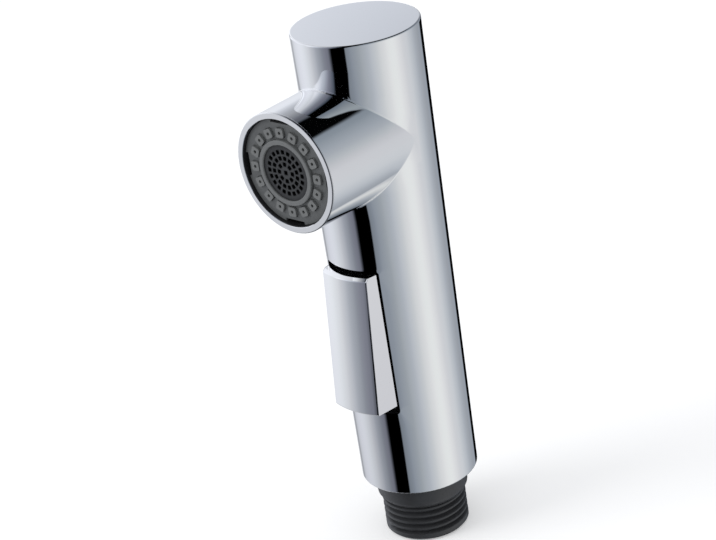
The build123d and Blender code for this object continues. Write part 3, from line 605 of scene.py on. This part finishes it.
class Former(Bench):
    """A tree of geometry nodes with named sizes, which forms what repeats along a piece."""

    def __init__(self, name, sizes, places=()):
        super().__init__(bpy.data.node_groups.new(name, "GeometryNodeTree"))
        sockets = [("Geometry", "Geometry"), *((size, "Float") for size in sizes)]
        sockets += [*((place, "Vector") for place in places), ("Material", "Material")]
        for socket, kind in sockets:
            self.tree.interface.new_socket(socket, in_out="INPUT", socket_type="NodeSocket" + kind)
        self.tree.interface.new_socket("Geometry", in_out="OUTPUT", socket_type="NodeSocketGeometry")
        self.size = self.node("NodeGroupInput").outputs

    def coordinates(self):
        """X, Y and Z of each point in metres."""
        apart = self.node("ShaderNodeSeparateXYZ")
        self.put(self.node("GeometryNodeInputPosition").outputs[0], apart.inputs[0])
        return apart.outputs

    def finish(self, shape):
        """The shape is made real, takes its material and leaves the tree."""
        real = self.node("GeometryNodeRealizeInstances")
        self.put(shape, real.inputs["Geometry"])
        finished = self.node("GeometryNodeSetMaterial")
        self.put(real.outputs[0], finished.inputs["Geometry"])
        self.put(self.size["Material"], finished.inputs["Material"])
        self.put(finished.outputs[0], self.node("NodeGroupOutput").inputs["Geometry"])
        return self.tree


def thread_tree():
    """A helical groove pressed into the wall between two heights."""
    former = Former("thread_groove", (
        "Pitch", "Crest Radius", "Root Radius", "Crest Height", "Crest Line", "Foot", "Head"))
    size, work = former.size, former.work
    x, y, z = former.coordinates()
    turn = work("ARCTAN2", y, x)
    turns_round = work("DIVIDE", work("SUBTRACT", turn, size["Crest Line"]), math.tau)
    turns_up = work("DIVIDE", work("SUBTRACT", z, size["Crest Height"]), size["Pitch"])
    phase = work("SUBTRACT", turns_up, turns_round)
    flank = former.edge(work("PINGPONG", phase, 0.5), crest_half, root_start)
    groove_turn = work("ADD", turns_round, work("FLOOR", phase))
    groove = work("MULTIPLY", flank, former.edge(groove_turn, groove_start, groove_whole))
    head_fade = former.edge(work("SUBTRACT", size["Head"], z), 0.0, groove_fade)
    foot_fade = former.edge(work("SUBTRACT", z, size["Foot"]), 0.0, groove_fade)
    groove = work("MULTIPLY", groove, work("MULTIPLY", head_fade, foot_fade))
    depth = work("SUBTRACT", size["Crest Radius"], size["Root Radius"])
    radius = work("SUBTRACT", size["Crest Radius"], work("MULTIPLY", groove, depth))
    place = former.node("ShaderNodeCombineXYZ")
    former.put(work("MULTIPLY", radius, work("COSINE", turn)), place.inputs["X"])
    former.put(work("MULTIPLY", radius, work("SINE", turn)), place.inputs["Y"])
    former.put(z, place.inputs["Z"])
    wall = former.node("GeometryNodeInputNamedAttribute", data_type="FLOAT")
    former.put("thread_wall", wall.inputs["Name"])
    on_wall = former.node("FunctionNodeCompare", data_type="FLOAT", operation="GREATER_THAN")
    former.put(wall.outputs["Attribute"], on_wall.inputs["A"])
    former.put(0.5, on_wall.inputs["B"])
    pressed = former.node("GeometryNodeSetPosition")
    former.put(size["Geometry"], pressed.inputs["Geometry"])
    former.put(on_wall.outputs["Result"], pressed.inputs["Selection"])
    former.put(place.outputs[0], pressed.inputs["Position"])
    return former.finish(pressed.outputs[0])


def grown(piece, tree, sizes):
    """The piece's mesh as its geometry nodes leave it, with the modifier gone."""
    grower = piece.modifiers.new("grower", "NODES")
    grower.node_group = tree
    for item in tree.interface.items_tree:
        if item.in_out == "INPUT" and item.name in sizes:
            grower[item.identifier] = sizes[item.name]
    seen = piece.evaluated_get(bpy.context.evaluated_depsgraph_get())
    mesh = bpy.data.meshes.new_from_object(seen)
    piece.modifiers.remove(grower)
    piece.data = mesh
    mesh.name = piece.name
    return mesh


def smooth_but_sharp(mesh, degrees=32):
    """Round surfaces shade smoothly, and edges steeper than the angle stay crisp."""
    mesh.shade_smooth()
    mesh.set_sharp_from_angle(angle=math.radians(degrees))


nylon = Finish("charcoal_nylon", (0.033, 0.034, 0.036), metallic=0.0, roughness=0.38)
nylon.tone(nylon.grain(900), (0.029, 0.030, 0.032), (0.038, 0.039, 0.042))
nylon.feed("Roughness", nylon.spread(nylon.grain(2200), low=0.33, high=0.45))
nylon.relief(nylon.grain(5200), depth=0.00002, strength=0.3)
hose_joint = turned("hose_joint", joint_profile, joint_steps)
thread_wall = hose_joint.data.attributes.new("thread_wall", "FLOAT", "POINT")
for vertex in hose_joint.data.vertices:
    threaded = thread_foot <= vertex.co.z <= thread_head and vertex.co.xy.length > thread_root
    thread_wall.data[vertex.index].value = float(threaded)
joint_mesh = grown(hose_joint, thread_tree(), {
    "Pitch": thread_pitch, "Crest Radius": thread_crest, "Root Radius": thread_root,
    "Crest Height": crest_height, "Crest Line": crest_line,
    "Foot": thread_foot, "Head": thread_head, "Material": nylon.material,
})
joint_mesh.attributes.remove(joint_mesh.attributes["thread_wall"])
smooth_but_sharp(joint_mesh)
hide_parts("inlet_connector")
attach(hose_joint, "handset")

# Inlet strainer: a fine sieve in the joint's mouth, punched from thin steel sheet and held in a turned rim,
# which rests on the step of the bore.
strainer_rim = [(6.3, 7.0), (7.1, 7.0), (7.25, 7.15), (7.25, 8.85), (7.1, 9.0), (6.3, 9.0)]
rim_steps = 96
sieve_pitch = 0.0007
sieve_hole_radius = 0.00025
sieve_reach = 0.00655
sieve_foot = 0.0078
sieve_thickness = 0.0004
sieve_across = 41
cell_corners = 12


def sieve_tree():
    """The punched cell laid out on a round triangular lattice."""
    former = Former("round_sieve", ("Pitch", "Reach", "Height"))
    size, work, put = former.size, former.work, former.put
    lattice = former.node("GeometryNodeMeshGrid")
    put(sieve_across, lattice.inputs["Vertices X"])
    put(sieve_across, lattice.inputs["Vertices Y"])
    put(work("MULTIPLY", size["Pitch"], sieve_across - 1), lattice.inputs["Size X"])
    row_step = work("MULTIPLY", size["Pitch"], math.sqrt(3) / 2)
    put(work("MULTIPLY", row_step, sieve_across - 1), lattice.inputs["Size Y"])
    x, y, _ = former.coordinates()
    odd = work("PINGPONG", work("ROUND", work("DIVIDE", y, row_step)), 1)
    shift = former.node("ShaderNodeCombineXYZ")
    put(work("MULTIPLY", work("MULTIPLY", odd, 0.5), size["Pitch"]), shift.inputs["X"])
    put(size["Height"], shift.inputs["Z"])
    staggered = former.node("GeometryNodeSetPosition")
    put(lattice.outputs["Mesh"], staggered.inputs["Geometry"])
    put(shift.outputs[0], staggered.inputs["Offset"])
    flat = former.node("ShaderNodeCombineXYZ")
    put(x, flat.inputs["X"])
    put(y, flat.inputs["Y"])
    from_middle = former.node("ShaderNodeVectorMath", operation="LENGTH")
    put(flat.outputs[0], from_middle.inputs[0])
    inside = former.node("FunctionNodeCompare", data_type="FLOAT", operation="LESS_THAN")
    put(from_middle.outputs["Value"], inside.inputs["A"])
    put(size["Reach"], inside.inputs["B"])
    cells = former.node("GeometryNodeInstanceOnPoints")
    put(staggered.outputs[0], cells.inputs["Points"])
    put(inside.outputs["Result"], cells.inputs["Selection"])
    put(size["Geometry"], cells.inputs["Instance"])
    return former.finish(cells.outputs[0])


sheet_steel = Finish("sheet_steel", (0.6, 0.6, 0.61), metallic=1.0, roughness=0.3)
sheet_steel.feed("Roughness", sheet_steel.spread(sheet_steel.grain(1200), low=0.22, high=0.4))
sheet_steel.relief(sheet_steel.grain(4000), depth=0.000006, strength=0.4)
rim = turned("strainer_rim", strainer_rim, rim_steps)
rim.data.materials.append(sheet_steel.material)
smooth_but_sharp(rim.data)
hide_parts("inlet_strainer")
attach(rim, "handset")
cell_shape = bmesh.new()
for step in range(cell_corners):
    cell_edge = sieve_pitch / 2 / math.cos(math.radians(30) if step % 2 else 0)
    angle = math.tau * step / cell_corners
    for height in (0.0, sieve_thickness):
        for reach in (sieve_hole_radius, cell_edge):
            cell_shape.verts.new((reach * math.cos(angle), reach * math.sin(angle), height))
cell_shape.verts.ensure_lookup_table()
for step in range(cell_corners):  # four points stand at each corner, two below and two above
    here, beyond = 4 * step, 4 * ((step + 1) % cell_corners)
    for first, second in ((0, 1), (1, 3), (3, 2), (2, 0)):
        corners = (here + first, beyond + first, beyond + second, here + second)
        cell_shape.faces.new([cell_shape.verts[corner] for corner in corners])
bmesh.ops.recalc_face_normals(cell_shape, faces=cell_shape.faces)
sieve_cell = bpy.data.meshes.new("strainer_sieve")
cell_shape.to_mesh(sieve_cell)
cell_shape.free()
sieve = placed("strainer_sieve", sieve_cell)
grown(sieve, sieve_tree(), {
    "Pitch": sieve_pitch, "Reach": sieve_reach, "Height": sieve_foot, "Material": sheet_steel.material,
})
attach(sieve, "handset")

# Spray face: a moulded grey disc with the soft nubs of the jet mat in its windows, a ring, and the aerator's
# dark grid. Painted shade darkens the grid towards its rim and round the edge of each hole.
mottle = 0.1
gloss_spread = 0.06
grid_colour = (0.031, 0.033, 0.034)
painted_rim_shade_colour = (0.012, 0.012, 0.013)
painted_rim_shade_start = 0.0051  # distance from the middle where the painted shade on the grid's rim starts, and how fast it darkens
painted_rim_shade_slope = 700
hole_rows = (0.00205, 8, 0), (0.003565, 15, 0.5), (0.00508, 20, 0)  # radius, holes, and the shift in holes
painted_hole_shade_colour = (0.005, 0.005, 0.0055)
hole_corner = 0.0003
hole_shade_reach = 0.00073  # distance from a hole's middle where the painted shade round it starts, and the width of that shade
hole_shade_width = 0.00015


def moulded(name, colour, roughness, skin_grain):
    """Plastic with the fine skin of its mould, faintly uneven in colour and in gloss."""
    plastic = Finish(name, colour, metallic=0.0, roughness=roughness)
    darker, lighter = ([part * (1 + change) for part in colour] for change in (-mottle, mottle))
    plastic.tone(plastic.grain(1300), darker, lighter)
    gloss = plastic.spread(plastic.grain(2400), roughness - gloss_spread, roughness + gloss_spread)
    plastic.feed("Roughness", gloss)
    plastic.relief(plastic.grain(skin_grain), depth=0.00002, strength=0.3)
    return plastic


wear("spray_disc", moulded("face_grey_plastic", (0.09, 0.094, 0.095), roughness=0.42, skin_grain=5200))
wear("jet_mat", moulded("nub_soft_grey", (0.145, 0.15, 0.15), roughness=0.55, skin_grain=4200))
wear("aerator_ring", moulded("ring_grey_plastic", (0.135, 0.14, 0.141), roughness=0.4, skin_grain=5200))
grid_grey = moulded("grid_dark_plastic", grid_colour, roughness=0.4, skin_grain=5200)
x, _, z = grid_grey.axes()
from_middle = grid_grey.from_axis(x, z, nozzle_height)
# Painted shade: the grid darkens towards its rim, as though in the shade of the ring's wall.
into_painted_rim_shade = grid_grey.work("SUBTRACT", from_middle, painted_rim_shade_start)
grid_grey.tone(grid_grey.work("MULTIPLY", into_painted_rim_shade, painted_rim_shade_slope), grid_colour, painted_rim_shade_colour)
above_middle = grid_grey.work("SUBTRACT", z, nozzle_height)
turn = grid_grey.work("MULTIPLY", grid_grey.work("ARCTAN2", above_middle, x), 1 / math.tau)
to_hole = grid_grey.work("MAXIMUM", grid_grey.work("ABSOLUTE", x), grid_grey.work("ABSOLUTE", above_middle))
for row_radius, holes, shift in hole_rows:
    along = grid_grey.work("WRAP", grid_grey.work("MULTIPLY_ADD", turn, holes, shift), 0.5, -0.5)
    along = grid_grey.work("ABSOLUTE", grid_grey.work("MULTIPLY", along, math.tau * row_radius / holes))
    across = grid_grey.work("ABSOLUTE", grid_grey.work("SUBTRACT", from_middle, row_radius))
    to_hole = grid_grey.work("MINIMUM", to_hole, grid_grey.work("SMOOTH_MAX", along, across, hole_corner))
# Painted shade: the grid darkens round the edge of each hole, which makes the holes look larger.
painted_hole_shade = grid_grey.work("MULTIPLY_ADD", to_hole, -1 / hole_shade_width, hole_shade_reach / hole_shade_width)
grid_grey.tone(painted_hole_shade, grid_colour, painted_hole_shade_colour)
wear("aerator_grid", grid_grey)

# Aerator's inside: two discs of woven steel wire lie right behind the grid, over a diffuser in its cup.
# Those two are moulded in pale acetal, and each piece rests on a step of its own.
screen_pitch = 0.00032
painted_gap_shade_colour = (0.002, 0.002, 0.002)
painted_wire_shade_colour = (0.07, 0.07, 0.07)
wire_round = 0.1
# Painted shade: the steel cloth is painted near black, with black gaps between the wires, so the grid's holes
# read dark.
wire_cloth = Finish("steel_wire_cloth", (0.1, 0.1, 0.1), metallic=0.7, roughness=0.4)
x, _, z = wire_cloth.axes()
waves = (wire_cloth.work("SINE", wire_cloth.work("MULTIPLY", run, math.pi / screen_pitch)) for run in (x, z))
warp, weft = (wire_cloth.work("ABSOLUTE", wave) for wave in waves)
wire = wire_cloth.work("MAXIMUM", warp, weft)
wire_cloth.tone(wire_cloth.work("SMOOTH_MIN", wire, 1, wire_round), painted_gap_shade_colour, painted_wire_shade_colour)
wire_cloth.relief(wire, depth=0.00006, strength=0.5)
wear("aerator_screens", wire_cloth)
pale = Finish("pale_acetal", (0.7, 0.7, 0.67), metallic=0.0, roughness=0.45)
pale.tone(pale.grain(700), (0.68, 0.68, 0.645), (0.73, 0.73, 0.70))
pale.feed("Roughness", pale.spread(pale.grain(1800), low=0.36, high=0.52))
pale.relief(pale.grain(3600), depth=0.00002, strength=0.25)
for name in ("aerator_cup", "aerator_diffuser"):
    wear(name, pale)

# Lever cradle: a black moulded tray in the casing's window. The paddle rocks on a drawn steel pin held in its
# cheeks, and the four pegs at its back go into the waterway.
black = Finish("black_plastic", (0.012, 0.012, 0.013), metallic=0.0, roughness=0.5)
black.tone(black.grain(1100), (0.010, 0.010, 0.011), (0.015, 0.015, 0.016))
black.feed("Roughness", black.spread(black.grain(2400), low=0.42, high=0.58))
black.relief(black.grain(5200), depth=0.00002, strength=0.3)
wear("lever_cradle", black)
drawn_steel = Finish("drawn_steel", (0.6, 0.6, 0.61), metallic=1.0, roughness=0.25)
drawn_steel.feed("Roughness", drawn_steel.spread(drawn_steel.grain(1500), low=0.18, high=0.34))
drawn_steel.relief(drawn_steel.grain(9000, detail=1.0), depth=0.000004, strength=0.5)
wear("lever_pin", drawn_steel)

# Waterway: a long black moulding that fills the casing, and the carrier that takes the water through the
# nozzle to the spray face. Both are glass-filled, so their skin is a little rough.
for name in ("waterway_core", "spray_carrier"):
    wear(name, black)

# Non-return valve: a small cartridge of pale moulded acetal, pushed into the hose joint. Its cage guides the
# poppet, which the flow lifts off its seat.
for name in ("check_valve_housing", "check_valve_cage", "check_valve_poppet"):
    wear(name, pale)

# Diverter: a turned brass plunger in a brass bush, which sits in the waterway. The lever's rib pushes the
# plunger. Fine turning lines run round both.
turning_pitch = 0.00012
turning_depth = 0.000003
brass = Finish("turned_brass", (0.72, 0.58, 0.3), metallic=1.0, roughness=0.25)
brass.tone(brass.grain(500), (0.70, 0.55, 0.27), (0.76, 0.62, 0.34))
brass.feed("Roughness", brass.spread(brass.grain(1300), low=0.18, high=0.36))
turning = brass.work("SINE", brass.work("MULTIPLY", brass.axes()["Y"], math.tau / turning_pitch))
brass.relief(turning, depth=turning_depth)
for name in ("diverter_bush", "diverter_plunger"):
    wear(name, brass)

# Seals: O-rings in their grooves and the washer on the diverter's plunger, moulded in black rubber. Their
# skin is dull, with traces of grease.
rubber = Finish("black_rubber", (0.02, 0.02, 0.02), metallic=0.0, roughness=0.6)
rubber.tone(rubber.grain(1600), (0.016, 0.016, 0.016), (0.026, 0.026, 0.026))
rubber.feed("Roughness", rubber.spread(rubber.grain(700), low=0.4, high=0.72))
rubber.relief(rubber.grain(6000), depth=0.00001, strength=0.3)
for name in (
    "connector_o_ring", "check_valve_o_ring", "bush_o_ring", "stem_o_ring", "stream_tube_o_ring",
    "carrier_o_ring", "aerator_o_ring", "diverter_seal",
):
    wear(name, rubber)

# Springs: coils of stainless wire with a pitch that leaves room for their stroke. One closes the non-return
# valve and the other pushes the diverter's plunger back.
spring_wire_radius = 0.000225
coil_steps = 28  # points of the helix to each turn, and sides of the wire
wire_sides = 10


def coil_tree():
    """Round wire swept along a helix from a seat, along the turned Z axis."""
    former = Former("wire_coil", ("Turns", "Coil Radius", "Wire Radius", "Rise"), ("Seat", "Turned"))
    size, put = former.size, former.put
    helix = former.node("GeometryNodeCurveSpiral")
    put(coil_steps, helix.inputs["Resolution"])
    put(size["Turns"], helix.inputs["Rotations"])
    put(size["Coil Radius"], helix.inputs["Start Radius"])
    put(size["Coil Radius"], helix.inputs["End Radius"])
    put(size["Rise"], helix.inputs["Height"])
    section = former.node("GeometryNodeCurvePrimitiveCircle")
    put(wire_sides, section.inputs["Resolution"])
    put(size["Wire Radius"], section.inputs["Radius"])
    sweep = former.node("GeometryNodeCurveToMesh")
    put(True, sweep.inputs["Fill Caps"])
    put(helix.outputs[0], sweep.inputs["Curve"])
    put(section.outputs[0], sweep.inputs["Profile Curve"])
    place = former.node("GeometryNodeTransform")
    put(sweep.outputs[0], place.inputs["Geometry"])
    put(size["Seat"], place.inputs["Translation"])
    put(size["Turned"], place.inputs["Rotation"])
    return former.finish(place.outputs[0])


wire_coil = coil_tree()
spring_steel = Finish("spring_steel", (0.6, 0.6, 0.62), metallic=1.0, roughness=0.22)
spring_steel.feed("Roughness", spring_steel.spread(spring_steel.grain(1500), low=0.16, high=0.3))
spring_steel.relief(spring_steel.grain(9000, detail=1.0), depth=0.000004, strength=0.5)
springs = [  # name, its plain sleeve, axis, turns, joint, stroke
    ("valve_closing_coil", "check_valve_spring", 2, 6.5, "check_valve_slide", 0.002),
    ("plunger_return_coil", "diverter_spring", 1, 5.5, "diverter_slide", 0.00266),
]
for name, sleeve, axis, turns, joint, stroke in springs:
    low, high = (Vector(corner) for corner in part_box(sleeve))
    length = high[axis] - low[axis]
    seat = (low + high) / 2
    seat[axis] = low[axis] + spring_wire_radius
    coil = placed(name, bpy.data.meshes.new(name))
    coil_mesh = grown(coil, wire_coil, {
        "Turns": turns, "Coil Radius": (high.x - low.x) / 2 - spring_wire_radius,
        "Wire Radius": spring_wire_radius, "Rise": length - 2 * spring_wire_radius,
        "Seat": tuple(seat), "Turned": (-math.pi / 2, 0, 0) if axis == 1 else (0, 0, 0),
        "Material": spring_steel.material,
    })
    smooth_but_sharp(coil_mesh)
    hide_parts(sleeve)
    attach(coil, "handset")
    far_end = list(seat)
    far_end[axis] = high[axis]
    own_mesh(coil)
